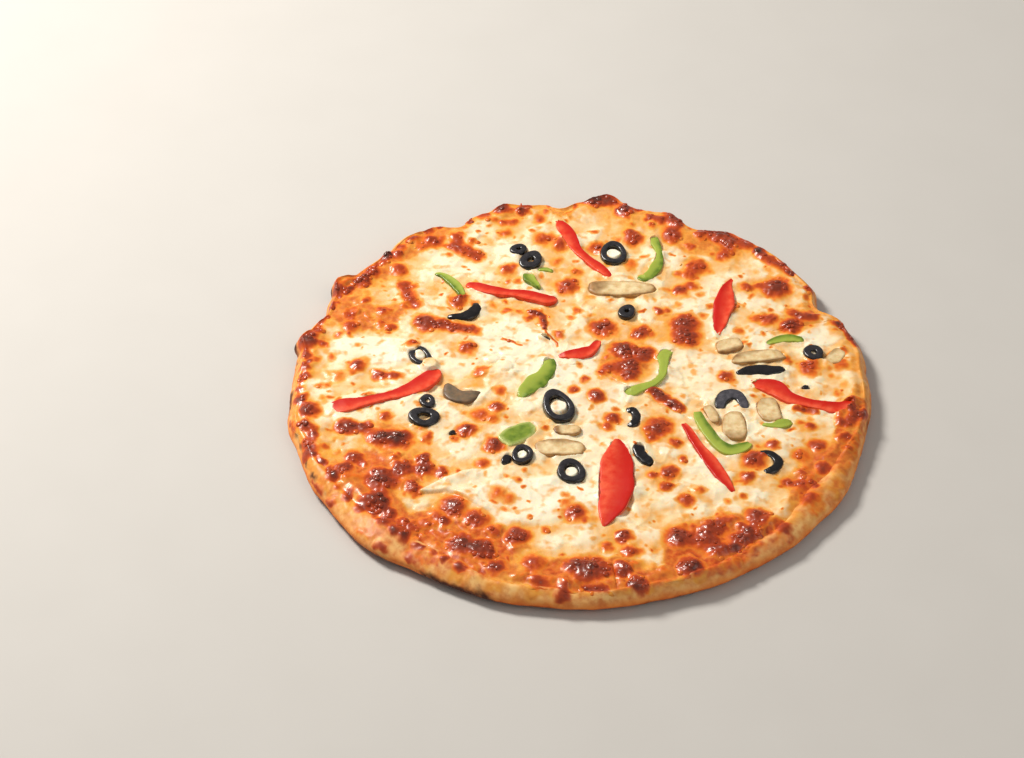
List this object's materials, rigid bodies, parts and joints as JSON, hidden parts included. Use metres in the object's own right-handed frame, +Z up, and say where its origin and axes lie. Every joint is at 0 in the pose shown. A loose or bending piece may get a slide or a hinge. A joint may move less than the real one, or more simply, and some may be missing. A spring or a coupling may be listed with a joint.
{
  "type": "vegetable pizza",
  "caption": "Round thin-crust vegetable pizza cut into wedges that still lie together, with a raised uneven rim, browned melted cheese, olive rings, pepper strips and mushroom slices.",
  "frame": {"origin": "middle of the flat underside, centre of the outline's box", "axes": "+Z up through the thickness, +X to the right and +Y to the far side as it is seen from the front"},
  "size_m": [0.2784, 0.2842, 0.0136],
  "materials": {
    "baked_dough": "baked dough, golden tan, dark brown where burnt",
    "melted_cheese": "melted cheese, creamy, with browned oily blisters",
    "black_olive": "wet black skin",
    "red_pepper": "oily red pepper",
    "green_pepper": "oily green pepper",
    "mushroom": "moist cooked mushroom"
  },
  "bodies": {
    "root": {"crust_slice_1": "baked_dough", "crust_slice_2": "baked_dough", "crust_slice_3": "baked_dough", "crust_slice_4": "baked_dough", "crust_slice_5": "baked_dough", "crust_slice_6": "baked_dough", "crust_slice_7": "baked_dough", "crust_slice_8": "baked_dough", "cheese_slice_1": "melted_cheese", "cheese_slice_2": "melted_cheese", "cheese_slice_3": "melted_cheese", "cheese_slice_4": "melted_cheese", "cheese_slice_5": "melted_cheese", "cheese_slice_6": "melted_cheese", "cheese_slice_7": "melted_cheese", "cheese_slice_8": "melted_cheese", "olive_ring_1": "black_olive", "olive_ring_2": "black_olive", "olive_ring_3": "black_olive", "olive_ring_4": "black_olive", "olive_ring_5": "black_olive", "olive_ring_6": "black_olive", "olive_ring_7": "black_olive", "olive_ring_8": "black_olive", "olive_ring_9": "black_olive", "olive_ring_10": "black_olive", "olive_ring_11": "black_olive", "olive_ring_12": "black_olive", "olive_arc_1": "black_olive", "olive_arc_2": "black_olive", "olive_arc_3": "black_olive", "olive_arc_4": "black_olive", "olive_arc_5": "black_olive", "red_pepper_1": "red_pepper", "red_pepper_2": "red_pepper", "red_pepper_3": "red_pepper", "red_pepper_4": "red_pepper", "red_pepper_5": "red_pepper", "red_pepper_6": "red_pepper", "red_pepper_7": "red_pepper", "red_pepper_8": "red_pepper", "green_pepper_1": "green_pepper", "green_pepper_2": "green_pepper", "green_pepper_3": "green_pepper", "green_pepper_4": "green_pepper", "green_pepper_5": "green_pepper", "green_pepper_6": "green_pepper", "green_pepper_7": "green_pepper", "green_pepper_8": "green_pepper", "green_pepper_9": "green_pepper", "mushroom_1": "mushroom", "mushroom_2": "mushroom", "mushroom_3": "mushroom", "mushroom_4": "mushroom", "mushroom_5": "mushroom", "mushroom_6": "mushroom", "mushroom_7": "mushroom", "mushroom_8": "mushroom", "mushroom_9": "mushroom", "mushroom_10": "mushroom"}
  },
  "joints": []
}
